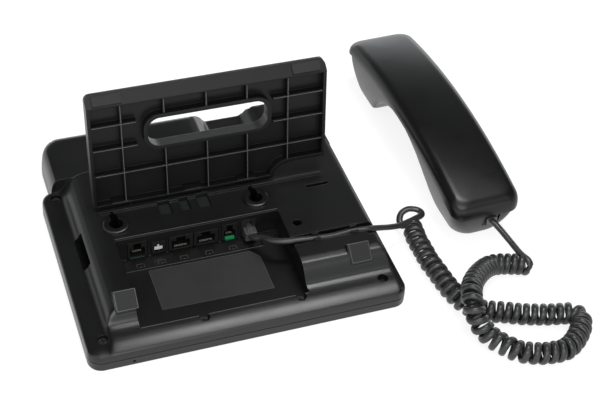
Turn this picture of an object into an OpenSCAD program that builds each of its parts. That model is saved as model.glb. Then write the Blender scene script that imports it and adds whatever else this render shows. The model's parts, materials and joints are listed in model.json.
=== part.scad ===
// Desk IP telephone lying face down: case, folding-angle stand, handset and curly cord.
// Inside every module x runs across the case, y away from the near edge, z up from the face.
/* [Case] */
// width across the case
case_w = 203.8; // [190:0.2:220]
// depth from the near edge to the far edge
case_d = 194; // [180:210]
// height of the line where the two case halves meet
seam_z = 6.5; // [5:0.5:9]
// height of the raised rear plateau
deck_z = 27.4; // [24:0.2:32]
// height of the lower block behind the display
far_z = 23.5; // [20:0.5:26]
// where the plateau steps down to the lower block
step_y = 148; // [140:156]
// how far the display end is set in on its left side
far_inset = 7; // [3:0.5:10]
// radius of the far left corner
far_r = 15; // [9:20]
// corner radius of the case seen from above
case_r = 9; // [6:14]
// wall of the rear half
wall = 2; // [1.6:0.2:3]
// thickness of the face panel
panel_t = 1.6; // [1.2:0.2:2.4]
// height of the sunk face panel above the resting rim
tray_z = 1.5; // [1:0.1:2.5]

/* [Connector bay] */
// left wall of the bay
bay_x0 = 34.4; // [30:40]
// right wall of the bay
bay_x1 = 141.6; // [136:146]
// near crest of the bay
bay_y0 = 16.5; // [14:22]
// wall that carries the sockets
port_y = 79; // [74:84]
// floor of the bay
bay_z = 9.3; // [8:0.1:11]
// depth of the embossed strip at the foot of the sockets
strip_d = 12; // [8:16]
// gap left round each socket
port_gap = 0.25; // [0.15:0.05:0.4]

/* [Wall mounting] */
// left keyhole, distance from the left side
key_l = 38.5; // [34:44]
// right keyhole, distance from the left side
key_r = 131; // [126:136]
// distance of both keyhole heads from the near edge
key_y = 92.5; // [88:98]
// radius of the keyhole head
key_head_r = 4.5; // [3.5:0.25:5.5]
// half width of the keyhole slot
key_slot_r = 2.2; // [1.8:0.1:2.6]
// length of the keyhole slot from the head centre
key_slot_l = 10; // [8:14]
// radius of the raised ring round a keyhole
key_boss_r = 8.2; // [7:0.2:10]
// height of the raised ring
key_boss_h = 1.4; // [1:0.2:2.4]
// radius of the round hole beside the cord channel
aux_hole_r = 3; // [2:0.5:4]

/* [Cord channel] */
// near side of the cord channel
chan_y0 = 45.8; // [42:50]
// far side of the cord channel
chan_y1 = 53.2; // [50:58]
// floor of the cord channel
chan_z = 20.4; // [18:0.2:23]

/* [Stand] */
// stand left edge
stand_x0 = 28.4; // [26:0.1:34]
// stand right edge
stand_x1 = 184.2; // [176:0.1:190]
// distance of the stand foot from the near edge
stand_y = 109.2; // [104:114]
// height of the stand along its lean, up to the lip
stand_h = 75.6; // [66:0.1:84]
// lean of the stand away from upright, degrees
stand_lean = 7; // [0:0.1:12]
// depth of the stand tray
stand_t = 8; // [6:0.5:11]
// plate and wall thickness of the stand
stand_wall = 2.2; // [1.8:0.2:3]
// height that the right part of the stand is cut up
stand_cut = 10.4; // [8:14]
// running gap between stand tabs and their pockets
tab_gap = 0.4; // [0.3:0.05:0.6]

/* [Keys] */
// digit key width
key_w = 16.5; // [13:18]
// digit key depth
key_d = 10.5; // [9:13]
// travel of every key
key_travel = 0.8; // [0.6:0.1:1.2]
// gap round each key in its hole
key_gap = 0.4; // [0.3:0.05:0.6]
// height of the key faces above the resting rim
key_face = 0.6; // [0.4:0.1:1.2]
// first digit column
dig_x = 70; // [66:74]
// digit column pitch
dig_px = 22; // [19:24]
// lowest digit row
dig_y = 26; // [20:0.5:30]
// digit row pitch
dig_py = 17.5; // [14:19]

/* [Handset] */
// handset length
hs_len = 189; // [170:205]
// handset width
hs_w = 49.6; // [44:0.1:54]
// handset turn about the upright axis, degrees
hs_turn = 2; // [0:0.5:5]
// wall of both handset shells
hs_wall = 2.2; // [1.8:0.2:3]
// handset centre, distance from the left side of the case
hs_x = 271.5; // [262:285]
// handset centre, distance from the near edge of the case
hs_y = 135; // [120:0.5:145]

/* [Cord] */
// outer diameter of the curly part
coil_d = 14.4; // [10:0.2:16]
// diameter of the straight leads
lead_d = 4; // [3:0.1:5]

/* [Parts] */
// which part to show

/* [Hidden] */
$fn = 40;
e = 0.05;
// the origin lies on the resting bar of the face, this far from the left and near sides
org_x = 100; org_y = 95;
// display window, left, near, right, far
win = [16, case_d-63, case_w-85.8, case_d-16];
// cradle wells in the face, left and right side
cr_x0 = case_w-64.8; cr_x1 = case_w-12.8;
ear_y0 = case_d-56; ear_y1 = case_d-12; ear_z = 8;
mouth_y0 = 19; mouth_y1 = 56; mouth_z = 5.4;
hook_x = case_w-37.8; hook_y = case_d-64;
// key list: name, x, y, width, depth
// the digit block stays midway between the function keys and the cradle
mid_dx = (case_w-203.8)/2;
digits = [for (r = [0:3], c = [0:2]) [dig_x + mid_dx + c*dig_px, dig_y + r*dig_py]];
soft_y = case_d-77;
ring_x = 33; ring_y = 68; ring_r = 15; ok_r = 5.5;
board_z0 = 5.7; board_z1 = 6.9;
main_z0 = 23.3; main_z1 = 24.9;
// across and height of the rear half
xprof = [[0,seam_z],[0.3,9.6],[1.3,11.8],[3.2,12.8],[6,12.6],[9,11.1],[11.4,10.2],[12.8,10.9],
  [13.9,12.8],[15,15.3],[16.2,17.8],[18.3,20.9],[21.1,23],[24.5,24.8],[28.4,26.2],[32.5,27.1],[36,deck_z],
  [case_w-11,deck_z],[case_w-9,27],[case_w-7.6,25.8],[case_w-6.6,23.4],[case_w-5.4,18.4],
  [case_w-4.2,14],[case_w-3.2,12.9],[case_w-1.5,12],[case_w-0.3,9.6],[case_w,seam_z]];
xlow = [[far_inset,seam_z],[far_inset+0.4,12],[far_inset+1.4,17],[far_inset+3,20.6],[far_inset+5.6,22.8],
  [far_inset+9.6,far_z],[rx(111),far_z],[rx(116.5),22.4],[rx(120.6),19.4],[rx(123.4),15.6],[rx(125.2),12.8],
  [rx(150.5),12.8],[rx(152.6),15.2],[rx(155.4),18.6],[rx(159.5),21.2],[rx(165),22.4],[case_w-13,22.4],[case_w-9.4,21.2],[case_w-7,18],
  [case_w-5.6,12.6],[case_w-4.4,12.8],[case_w-1.6,12],[case_w-0.3,9.6],[case_w,seam_z]];
// the same two outlines, one wall further in
xin = [[4,seam_z-2],[4,bay_z-2],[13.4,bay_z-2],[15.4,10],[18.4,15.4],[20.4,18.4],[23,20.6],[26.4,22.2],[31,23.8],
  [36,deck_z-wall-0.2],[case_w-12.2,deck_z-wall-0.2],[case_w-10.4,23.6],[case_w-9,18],[case_w-7.8,11],
  [case_w-7.4,bay_z-2],[case_w-4,bay_z-2],[case_w-4,seam_z-2]];
xlowin = [[far_inset+4,seam_z-2],[far_inset+4,16],[far_inset+6,19],[far_inset+9,21.2],[rx(110),21.2],[rx(115),19.8],
  [rx(118.4),17],[rx(121),13],[rx(122.4),10.4],[rx(152),10.4],[rx(155.6),14.6],[rx(160),18.2],[rx(165),20],[case_w-13.6,20],[case_w-11,18],
  [case_w-9.4,15],[case_w-8.4,10.4],[case_w-8,bay_z-2],[case_w-4,bay_z-2],[case_w-4,seam_z-2]];
yprof = [[0,seam_z],[0.3,10.4],[1.4,12.4],[3.2,12.8],[6,11.9],[9,11.1],[12,11.4],[15.5,12.6],[18,12.9],
  [20.2,14.2],[22,16.9],[24.2,21],[26.6,23.9],[29.8,26.3],[34.4,deck_z],[step_y,deck_z],
  [step_y,seam_z]];
ylow = [[step_y-4,seam_z],[step_y-4,far_z],[case_d-5,far_z],[case_d-2.6,22.7],[case_d-1,20.8],[case_d-0.3,17],
  [case_d,seam_z]];
// socket name order: left, right, bottom, top
ports = [[42.2,54.9,7.6,22],[57.9,66.9,7.6,19],[69,85.1,7.6,20.6],[85.7,101.8,7.6,20.6],
  [104.4,114.8,7.6,22.4],[117.2,127.6,7.6,22.8]];
// ribs of the stand, across
rib_x = [49.5, 77, 104.3, 131, 158.4];
// coil and lead route points, world axes of the modules
lead_base_pts = [[122.4,70.5,15.6],[122.8,67,17.6],[126.4,63.9,20.5],[129.5,57.2,23.4],[134.7,52.8,24.8],
  [140.3,51.5,25],[147.4,50.9,25],[167.3,49.5,24.2],[181.2,50.4,24.2],[187.9,50,24.2],
  [193.3,49.6,24],[201.6,50.6,21.6],[210.7,53.1,17.6],[215.6,56.6,15.8],[220.6,60.4,12.8],
  [225,62.6,10.2],[228.4,61.6,8.4],[229.5,60,7.7],[229.6,58.4,7.5]];
coil_pts = [[229.6,58,7.3],[229.3,54.1,7.3],[228.3,46.5,7.3],[228.5,36.8,7.3],[228.4,26.4,7.3],
  [229.6,17.6,7.3],[230.5,8.1,7.3],[231.9,-1.4,7.3],[234.3,-10.2,7.3],[238,-17.5,7.3],
  [242.6,-22.3,7.3],[248.2,-25.2,7.3],[257,-28.6,7.3],[265.6,-32.4,7.3],[274.6,-35.4,7.3],
  [283.7,-38,7.3],[292.1,-39.6,7.3],[298.2,-41.3,7.3],[300.6,-46.4,7.3],[297.8,-53,7.3],
  [291.5,-59.8,7.3],[284.9,-64.6,7.3],[278.8,-67.1,7.3],[272.7,-67,7.3],[265.1,-66,7.3],
  [257.5,-63.4,7.3],[251.1,-59.9,7.3],[246.7,-54.9,7.3],[242.5,-49.5,7.3],[239.3,-44.5,8],
  [236.6,-40.5,10.5],[234.4,-36.7,14],[233.3,-33.3,18],[232.8,-29.5,21.4],[233.9,-24.2,22.8],
  [236.6,-17.8,22.6],[241.3,-10.3,20],[249.4,-0.9,15.2],[258.5,7.4,10.2],[265.6,11.2,7.8],
  [272.1,11.2,7.3],[278.4,9.4,7.3],[284,7.6,7.3],[288.3,5.9,7.3]];
lead_hs_pts = [[288.9,5.7,7.5],[291.4,4.9,8.2],[293.8,6.4,9.8],[293.6,10.6,11.6],[291.2,15,12.6],
  [287.2,21.4,13],[284.1,27.6,13.4],[281.9,34,14.2],[280,39,15],[279.3,41.9,15]];

function un(v) = v / norm(v);
// swept tube through a list of points
module tube(p, r, n = 8) {
  k = len(p);
  t = [for (i = [0:k-1]) un(p[min(i+1,k-1)] - p[max(i-1,0)])];
  s = [for (i = [0:k-1]) un(cross(t[i], [0,0.02,1]))];
  u = [for (i = [0:k-1]) cross(s[i], t[i])];
  pts = [for (i = [0:k-1], a = [0:n-1]) p[i] + r*(cos(360*a/n)*s[i] + sin(360*a/n)*u[i])];
  side = [for (i = [0:k-2], a = [0:n-1]) [i*n+a, (i+1)*n+a, (i+1)*n+(a+1)%n, i*n+(a+1)%n]];
  polyhedron(pts, concat([[for (a = [0:n-1]) a]], side, [[for (a = [0:n-1]) (k-1)*n + n-1-a]]));
}
module place() translate([-org_x, -org_y, 0]) children();
module rrect(x0, y0, x1, y1, r) {
  translate([x0+r, y0]) square([x1-x0-2*r, y1-y0]);
  translate([x0, y0+r]) square([x1-x0, y1-y0-2*r]);
  for (x = [x0+r, x1-r], y = [y0+r, y1-r]) translate([x, y]) circle(r);
}
module plan(d) {
  rrect(d, d, case_w-d, step_y+2-d, case_r-d);
  far_plan(far_inset+d, d, case_w-d, case_d-d, far_r-d, case_r-d);
}
// outline with a larger corner at the far left
module far_plan(x0, y0, x1, y1, rl, rr) {
  translate([x0, y0+rr]) square([x1-x0, y1-rl-y0-rr]);
  translate([x0+rl, y0]) square([x1-rr-x0-rl, y1-y0]);
  translate([x1-rr-1, y1-rl-1]) square([rr+1, rl-rr+1]);
  translate([x0+rl, y1-rl]) circle(rl);
  translate([x1-rr, y1-rr]) circle(rr);
  translate([x1-rr, y0+rr]) circle(rr);
}
module bar(x0, y0, z0, x1, y1, z1) translate([x0, y0, z0]) cube([x1-x0, y1-y0, z1-z0]);
module along_y(y0, y1) translate([0, y1, 0]) rotate([90, 0, 0]) linear_extrude(y1-y0) children();
module along_x(x0, x1) translate([x0, 0, 0]) rotate([90, 0, 90]) linear_extrude(x1-x0) children();
// stand axes: x across, y up the lean, z away from the near side
module stand_at() translate([0, stand_y, deck_z]) rotate([90 - stand_lean, 0, 0]) mirror([0, 0, 1]) children();
module at_handset() translate([hs_x, hs_y, 0]) rotate([0, 0, hs_turn]) children();

module rear_mass() intersection() {
  union() {
    intersection() { along_y(0, step_y) polygon(xprof); along_x(0, case_w) polygon(yprof); }
    intersection() { along_y(step_y-4, case_d) polygon(xlow); along_x(0, case_w) polygon(ylow); }
    // rim that runs round the whole case
    translate([0, 0, seam_z]) linear_extrude(12.2-seam_z) difference() { plan(1.2); plan(7); }
    translate([0, 0, seam_z]) linear_extrude(4) difference() { plan(0); plan(5); }
  }
  translate([0, 0, seam_z]) linear_extrude(40) plan(0);
}
module keyhole_cut(x) translate([x, key_y, deck_z-6]) {
  cylinder(h = 12, r = key_head_r);
  translate([-key_slot_r, 0, 0]) cube([2*key_slot_r, key_slot_l, 12]);
  translate([0, key_slot_l, 0]) cylinder(h = 12, r = key_slot_r);
}
// case screws: left, near, lift
screws = [[11.2, 14.2, 0], [73.8, 14.2, 0], [135.9, 14.2, 0], [case_w-13.3, 14.2, 0], [9.4, step_y-5.4, 0], [case_w-73.3, step_y+8, 4.3]];
module foot_wedge(x0, x1) along_x(x0, x1)
  polygon([[20.6,12],[23.6,21.4],[24.4,22.4],[33.6,30.1],[36,27.2],[36,20],[22,11]]);

module rear_housing() color([0.06, 0.06, 0.065]) place() {
  difference() {
    union() {
      rear_mass();
      foot_wedge(21.6, 36.8); foot_wedge(case_w-31.8, case_w-16.6);
      for (x = [key_l, key_r]) translate([x, key_y, deck_z-1]) cylinder(h = key_boss_h+1, r = key_boss_r);
      bar(stand_x0+2, stand_y-4.6, deck_z-1, stand_x1-4, stand_y-3, deck_z+0.8);
    }
    // hollow inside, left open where the bay and channel walls stand
    intersection() {
      union() {
        along_y(port_y+wall, step_y-wall) polygon(xin);
        intersection() {
          along_y(36, port_y+wall+1) polygon(xin);
          union() {
            bar(0, 38, seam_z-2, bay_x0-wall, port_y+wall+1, 40);
            bar(bay_x1+wall, 38, seam_z-2, case_w, port_y+wall+1, chan_z-wall);
            bar(bay_x1+wall, chan_y1+wall, seam_z-2, case_w, port_y+wall+1, 40);
            bar(0, 38, seam_z-2, case_w, port_y+wall+1, bay_z-2);
          }
        }
        along_y(step_y-wall-0.1, case_d-2.4) intersection() { polygon(xlowin); translate([0, 0]) square([case_w, far_z-2.2]); }
        bar(4, 4, seam_z-1, case_w-4, case_d-4, bay_z-2);
      }
      translate([0, 0, -1]) linear_extrude(60) plan(2.4);
    }
    // connector bay
    bar(bay_x0, bay_y0, bay_z, bay_x1, port_y, 40);
    bar(bay_x0+4, port_y-strip_d, 8.4, 129, port_y, 12);
    // socket windows
    for (p = ports) bar(p[0]-port_gap, port_y-1, p[2]-0.1, p[1]+port_gap, port_y+wall+1, p[3]+port_gap);
    // cord channel
    bar(bay_x1-2, chan_y0, chan_z, case_w+2, chan_y1, 40);
    bar(case_w-13, chan_y0-3, chan_z, case_w+2, chan_y1, 40);
    // keyholes, round hole and slots in the plateau
    keyhole_cut(key_l); keyhole_cut(key_r);
    translate([150, 64.4, 10]) cylinder(h = 30, r = aux_hole_r);
    for (s = [[68.2,94.7,76.2,105.4],[82.4,94.8,88.4,105.6],[94,94.6,102,106]]) bar(s[0], s[1], 22, s[2], s[3], 30);
    bar(case_w-37.2, 94.4, 22, case_w-21.6, 97, 30);
    // stand pockets
    for (x = [40, 88, 124]) bar(x-tab_gap, stand_y+0.6-tab_gap, deck_z-5, x+12+tab_gap, stand_y+5.6+1.2, deck_z+1);
    // expansion socket in the left flank
    translate([13.2, 72, 12.6]) rotate([0, 30, 0]) cube([12, 28, 7.4]);
    // screw wells
    for (s = screws) translate([s[0], s[1], seam_z-1+s[2]]) { translate([0, 0, -s[2]]) cylinder(h = 30, r = 1.7); translate([0, 0, 3]) cylinder(h = 30, r = 3.2); }
  }
  // cord clips over the channel
  for (x = [155.5, case_w-22.8]) for (s = [0, 1])
    bar(x, s ? chan_y1-2 : chan_y0-e, deck_z-1, x+4.4, s ? chan_y1+e : chan_y0+2, deck_z);
}

module front_housing() color([0.05, 0.05, 0.055]) place() difference() {
  union() {
    // skirt
    difference() {
      union() {
        linear_extrude(0.6) plan(0.9);
        translate([0, 0, 0.5]) linear_extrude(0.8) plan(0.3);
        translate([0, 0, 1.2]) linear_extrude(seam_z-1.2) plan(0);
      }
      translate([0, 0, -1]) linear_extrude(20) plan(2.2);
    }
    // sunk panel and raised resting frame
    intersection() {
      union() {
        bar(1, 1, tray_z, case_w-1, case_d-1, tray_z+panel_t);
        bar(1, 1, 0, 9, case_d-1, 2); bar(cr_x0-13.5, 1, 0, case_w-1, case_d-1, 2);
        bar(1, 1, 0, case_w-1, 10, 2); bar(1, case_d-11.4, 0, case_w-1, case_d-1, 2);
        bar(1, 91, 0, case_w-1, 100, 2);
      }
      linear_extrude(20) plan(1);
    }
    // walls of the two cradle wells
    bar(cr_x0-1.8, ear_y0-1.8, 1, cr_x1+1.8, ear_y1+1.8, ear_z+1.8);
    bar(cr_x0-1.8, mouth_y0-1.8, 1, cr_x1+1.8, mouth_y1+1.8, mouth_z+1.6);
    // screw bosses
    for (s = screws) translate([s[0], s[1], 1]) cylinder(h = 6.2+s[2]*0.7, r = 2.8);
    // hook switch guide
    bar(hook_x-6, hook_y-5, 1, hook_x+6, hook_y+5, 6);
  }
  // wells
  bar(cr_x0, ear_y0, -1, cr_x1, ear_y1, ear_z);
  bar(cr_x0, mouth_y0, -1, cr_x1, mouth_y1, mouth_z);
  bar(hook_x-4.4, hook_y-3.4, -1, hook_x+4.4, hook_y+3.4, 7);
  // display window
  bar(win[0], win[1], -1, win[2], win[3], 9);
  bar(win[0]-2, win[1]-2, tray_z+0.6, win[2]+2, win[3]+2, 9);
  // key holes
  for (d = digits) bar(d[0]-key_w/2-key_gap, d[1]-key_d/2-key_gap, -1, d[0]+key_w/2+key_gap, d[1]+key_d/2+key_gap, 9);
  for (i = [0:3]) bar(soft_x(i)-9-key_gap, soft_y-3.5-key_gap, -1, soft_x(i)+9+key_gap, soft_y+3.5+key_gap, 9);
  for (q = func_at) bar(q[0]-7-key_gap, q[1]-3.5-key_gap, -1, q[0]+7+key_gap, q[1]+3.5+key_gap, 9);
  translate([ring_x, ring_y, -1]) cylinder(h = 10, r = ring_r+key_gap);
  for (s = screws) translate([s[0], s[1], 3.2]) cylinder(h = 12, r = 1.5);
  translate([26.9, 6.6, 3.6]) rotate([90, 0, 0]) cylinder(h = 4.4, r = 2.8);
  bar(hook_x-4.4, case_d-10, -1, hook_x+4.4, case_d-7.4, 9);
  // lamp and face microphone
  translate([win[2], case_d-8, -1]) cylinder(h = 10, r = 1.9);
  translate([26.9, 12.5, 3.6]) rotate([90, 0, 0]) cylinder(h = 20, r = 0.9);
  // loudspeaker slots under the handset
  for (y = [66:5:110]) bar(hook_x-16, y, -1, hook_x+16, y+2, 9);
}
// distances measured back from the right side
function rx(x) = x + case_w - 203.8;
function soft_x(i) = 27 + i*(win[2]-38.2)/3;
func_at = [[20, 24], [46, 24], [20, 40], [46, 40]];

module display_window() color([0.02, 0.02, 0.025]) place()
  bar(win[0]-1.7, win[1]-1.7, tray_z+0.6, win[2]+1.7, win[3]+1.7, tray_z+1.8);
module display_module() color([0.5, 0.5, 0.5]) place() difference() {
  bar(win[0]-3, win[1]-1.5, 3.5, win[2]+3, win[3]+1, 7.2);
  bar(win[0]+2, win[1]+2, 3.3, win[2]-2, win[3]-2, 4.1);
}
module keypad_mat() color([0.3, 0.3, 0.3]) place() difference() {
  bar(9, 18, 5.05, mid_dx+128, 90, 5.6);
  for (d = digits) translate([d[0], d[1], 4]) cylinder(h = 3, r = 2);
}
module key_board() color([0.05, 0.25, 0.1]) place() difference() {
  bar(7, 18, board_z0, mid_dx+130, soft_y+6, board_z1);
  for (x = [11, mid_dx+126], y = [22, soft_y-17]) translate([x, y, 5]) cylinder(h = 3, r = 1.6);
}
module main_board() color([0.05, 0.25, 0.1]) place() difference() {
  union() {
    bar(41, port_y+wall+0.5, main_z0, 129, step_y-6, main_z1);
    for (x = [57, 92, 112]) bar(x, 128, 18.6, x+12, 140, main_z0+e);
    for (x = [64, 82]) bar(x, 112, 20.4, x+8, 122, main_z0+e);
  }
  bar(30, port_y, 20, 48, 107, 30);
  bar(121.6, 84.5, 20, 150, 107, 30);
  for (x = [39, 87, 123]) bar(x, 107.5, 20, x+15, 117, 30);
  for (x = [50.5, 119]) translate([x, 138, 20]) cylinder(h = 9, r = 1.6);
}
module speaker() color([0.2, 0.2, 0.2]) place() translate([hook_x, 88, 3.4]) difference() {
  union() { cylinder(h = 2.6, r = 19); translate([0, 0, 2.6-e]) cylinder(h = 5, r = 11); }
  translate([0, 0, -1]) cylinder(h = 1.8, r = 17);
}
module base_microphone() color([0.3, 0.3, 0.3]) place()
  translate([26.9, 6.2, 3.6]) rotate([90, 0, 0]) cylinder(h = 3.6, r = 2.6);
module hook_plunger() color([0.05, 0.05, 0.05]) place() difference() {
  union() {
    bar(hook_x-4, hook_y-3, -0, hook_x+4, hook_y+3, 6.4);
    bar(hook_x-6, hook_y-4.6, 6.4-e, hook_x+6, hook_y+4.6, 7.6);
  }
  bar(hook_x-2.6, hook_y-1.6, 2, hook_x+2.6, hook_y+1.6, 8);
}
module cradle_tab() color([0.05, 0.05, 0.05]) place() union() {
  bar(hook_x-4, case_d-9.6, 0.2, hook_x+4, case_d-7.8, 6); bar(hook_x-6, case_d-7.9, 3.4, hook_x+6, case_d-6.6, 6);
}
module status_lamp() color([0.8, 0.1, 0.1]) place() translate([win[2], case_d-8, 0.3]) cylinder(h = 4.4, r = 1.7);
module screw(h) difference() {
  union() { cylinder(h = h, r = 1.45); translate([0, 0, h-2]) cylinder(h = 2, r = 2.9); }
  for (a = [0, 90]) rotate([0, 0, a]) translate([-1.7, -0.35, h-1]) cube([3.4, 0.7, 2]);
}
module case_screws() color([0.45, 0.45, 0.47]) place()
  for (s = screws) translate([s[0], s[1], 3.4+s[2]]) screw(7.2);
module base_feet() color([0.13, 0.13, 0.13]) place() for (x = [29.2, case_w-24.2])
  translate([x, 24.4, 22.4]) rotate([39.9, 0, 0]) translate([-6.1, 0.2, 0.06]) cube([12.2, 11.4, 1.2]);
module rating_label() color([0.1, 0.1, 0.105]) place() translate([0, 0, bay_z])
  linear_extrude(0.15) polygon([[52,30],[124,29],[124,58],[118.6,64.4],[52,64.8]]);

module rj(p, d, hw, hh) difference() {
  bar(p[0], port_y, p[2], p[1], port_y+d, p[3]);
  // cavity and latch channel
  bar((p[0]+p[1]-hw)/2, port_y-1, p[2]+2.2, (p[0]+p[1]+hw)/2, port_y+d-2.6, p[2]+2.2+hh);
  bar((p[0]+p[1]-hw*0.5)/2, port_y-1, p[2]+2, (p[0]+p[1]+hw*0.5)/2, port_y+d-4, p[3]-1.2);
}
module ext_jack() color([0.1, 0.1, 0.1]) place() rj(ports[0], 15, 9.8, 7);
module lan_jack() color([0.1, 0.1, 0.1]) place() rj(ports[2], 18, 11.9, 7);
module pc_jack() color([0.1, 0.1, 0.1]) place() rj(ports[3], 18, 11.9, 7);
module headset_jack() color([0.1, 0.1, 0.1]) place() rj(ports[4], 15, 7.9, 7);
module handset_jack() color([0.1, 0.1, 0.1]) place() rj(ports[5], 15, 7.9, 7);
module power_jack() color([0.1, 0.1, 0.1]) place() {
  difference() {
    bar(ports[1][0], port_y, ports[1][2], ports[1][1], port_y+13, ports[1][3]);
    translate([(ports[1][0]+ports[1][1])/2, port_y-1, 13.4]) rotate([-90, 0, 0]) cylinder(h = 10, r = 3.2);
  }
  translate([(ports[1][0]+ports[1][1])/2, port_y+1.5, 13.4]) rotate([-90, 0, 0]) cylinder(h = 8, r = 1);
}

module stand_slot(grow) translate([0, 0, -3]) linear_extrude(30)
  rrect(66-grow, 40.6-grow, 144.6+grow, 61.2+grow, 8+grow);
module stand_outline(d) {
  difference() {
    rrect(stand_x0+d, -12+d, stand_x1-d, stand_h+6.4-d, 4);
    translate([0, -20+d]) square([200, 20]);
    translate([0, d]) polygon([[148-d,-3],[148-d,0.4],[149.2-d,3.4],[151.4-d,6.2],[154.6-d,8.6],[158.6-d,10],
      [164,stand_cut],[220,stand_cut],[220,-3]]);
  }
}
module stand_bracket() color([0.06, 0.06, 0.065]) place() union() {
  difference() {
  stand_at() difference() {
    union() {
      // back plate
      translate([0, 0, stand_t-stand_wall]) linear_extrude(stand_wall) stand_outline(0);
      // wall round the edge
      difference() { linear_extrude(stand_t) stand_outline(0); translate([0, 0, -1]) linear_extrude(stand_t+2) stand_outline(stand_wall); }
      // lip that carries the pads
      translate([stand_x0+2, stand_h-1, 0]) cube([stand_x1-stand_x0-4, 7.2, stand_t]);
      // ribs
      for (x = rib_x) translate([x-0.7, 1, 0.8]) cube([1.4, stand_h-1, stand_t-0.8]);
      for (v = [24.3]) translate([stand_x0+1, v-0.7, 0.8]) cube([stand_x1-stand_x0-2, 1.4, stand_t-0.8]);
      for (v = [43.4, 60.6]) {
        translate([stand_x0+1, v-0.7, 0.8]) cube([30, 1.4, stand_t-0.8]);
        translate([stand_x1-36, v-0.7, 0.8]) cube([35, 1.4, stand_t-0.8]);
      }
      // collar of the handle slot
      linear_extrude(stand_t) rrect(63.4, 38, 147.2, 63.8, 10);
    }
    stand_slot(0);
    // slanted face of the lip
    translate([0, stand_h, 0]) rotate([44, 0, 0]) translate([0, -4, -20]) cube([220, 30, 20]);
    // cut above the plateau on the right
    translate([0, 0, -1]) linear_extrude(stand_t+2)
      polygon([[148,-3],[148,0.4],[149.2,3.4],[151.4,6.2],[154.6,8.6],[158.6,10],[164,stand_cut],[220,stand_cut],[220,-3]]);
  }
  // foot trimmed flat to the plateau
  bar(0, stand_y-6, 0, case_w, stand_y+20, deck_z+0.08);
  }
  // tabs that drop into the housing
  for (x = [40, 88, 124]) bar(x, stand_y+0.6, deck_z-4.4, x+12, stand_y+5.6, deck_z+2.6);
}
module stand_feet() color([0.13, 0.13, 0.13]) place() stand_at() for (x = [32.4, 161.6])
  translate([x, stand_h, 0]) rotate([44, 0, 0]) translate([0, 0.8, -1]) cube([18.6, 6.6, 0.97]);

// digit and other keys: stem through the panel and a flange behind it
module key_box(x, y, w, d) color([0.08, 0.08, 0.085]) place() {
  bar(x-w/2, y-d/2, key_face, x+w/2, y+d/2, 3.5);
  bar(x-w/2-1.1, y-d/2-1.1, 3.4, x+w/2+1.1, y+d/2+1.1, 4.1);
}
module dig(i) key_box(digits[i][0], digits[i][1], key_w, key_d);
module key_1() dig(9); module key_2() dig(10); module key_3() dig(11);
module key_4() dig(6); module key_5() dig(7); module key_6() dig(8);
module key_7() dig(3); module key_8() dig(4); module key_9() dig(5);
module key_star() dig(0); module key_0() dig(1); module key_hash() dig(2);
module soft_key_1() key_box(soft_x(0), soft_y, 18, 7);
module soft_key_2() key_box(soft_x(1), soft_y, 18, 7);
module soft_key_3() key_box(soft_x(2), soft_y, 18, 7);
module soft_key_4() key_box(soft_x(3), soft_y, 18, 7);
module speaker_key() key_box(func_at[0][0], func_at[0][1], 14, 7);
module headset_key() key_box(func_at[1][0], func_at[1][1], 14, 7);
module hold_key() key_box(func_at[2][0], func_at[2][1], 14, 7);
module mute_key() key_box(func_at[3][0], func_at[3][1], 14, 7);
module nav_ring() color([0.08, 0.08, 0.085]) place() translate([ring_x, ring_y, 0]) difference() {
  union() {
    translate([0, 0, key_face]) cylinder(h = 2.9, r = ring_r);
    translate([0, 0, 3.4]) cylinder(h = 0.7, r = ring_r+1.1);
  }
  translate([0, 0, -1]) cylinder(h = 9, r = ok_r+key_gap);
}
module ok_key() color([0.08, 0.08, 0.085]) place() translate([ring_x, ring_y, key_face]) cylinder(h = 3.5, r = ok_r);

// handset: arch in the y-z plane, cups at both ends
hl = hs_len/2;
// outline of the top, underside of the back shell and of the front shell
function arch(y, top, drop, tilt) = top - drop*(y*y)/(hl*hl) + tilt*y/hl;
module hs_side(pts) rotate([90, 0, 90]) translate([0, 0, -hs_w/2]) linear_extrude(hs_w) polygon(pts);
top_pts = [for (i = [0:24]) let (y = -hl + i*hs_len/24) [y, arch(y, 46.5, 11.5, 2) - (abs(y) > hl-1 ? 3 : 0)]];
mid_pts = [for (i = [24:-1:0]) let (y = -hl + i*hs_len/24) [y, arch(y, 37.3, 12, 3.2)]];
low_pts = [[-hl+1.2,21],[-hl+3,12],[-hl+6,3.4],[-hl+10,0],[-hl+36,0],[-hl+41,1.6],[-hl+49,9.5],[-hl+58,18.5],
  [-hl+68,26],[-hl+80,31],[-4,33.8],[hl-80,33],[hl-68,28.6],[hl-58,22],[hl-50,13.6],[hl-44,5],[hl-40,1.2],
  [hl-36,0],[hl-9,0],[hl-5,3],[hl-2.4,12],[hl-1.2,26]];
// underside a little further up, floor of the hollow along the grip
trough_pts = [[-hl+8,22],[-hl+34,25.4],[-hl+60,28.4],[-hl+80,33],[0,35.4],[hl-80,35],[hl-60,30.4],[hl-34,26],[hl-8,26],
  [hl-8,60],[-hl+8,60]];
module hs_plan(d) rrect(-hs_w/2+d, -hl+d, hs_w/2-d, hl-d, 9-d);
module hs_cups(d) intersection() {
  rotate([90, 0, 90]) translate([0, 0, -hs_w/2+1.6+d]) linear_extrude(hs_w-3.2-2*d)
    polygon(concat([for (p = low_pts) [p[0]+(p[0] < 0 ? d : -d), p[1]+d]], [for (i = [0:24]) mid_pts[i] + [i == 0 ? -1-d : i == 24 ? 1+d : 0, 0]]));
  translate([0, 0, -1]) linear_extrude(60) hs_plan(1.6+d);
  // sides that lean in towards the face
  along_y(-hl, hl) polygon([[-hs_w/2+6.6+d,-1],[hs_w/2-6.6-d,-1],[hs_w/2-4-d,16],[hs_w/2-1.6-d,28],[hs_w/2-1.6-d,50],
    [-hs_w/2+1.6+d,50],[-hs_w/2+1.6+d,28],[-hs_w/2+4+d,16]]);
}
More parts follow.
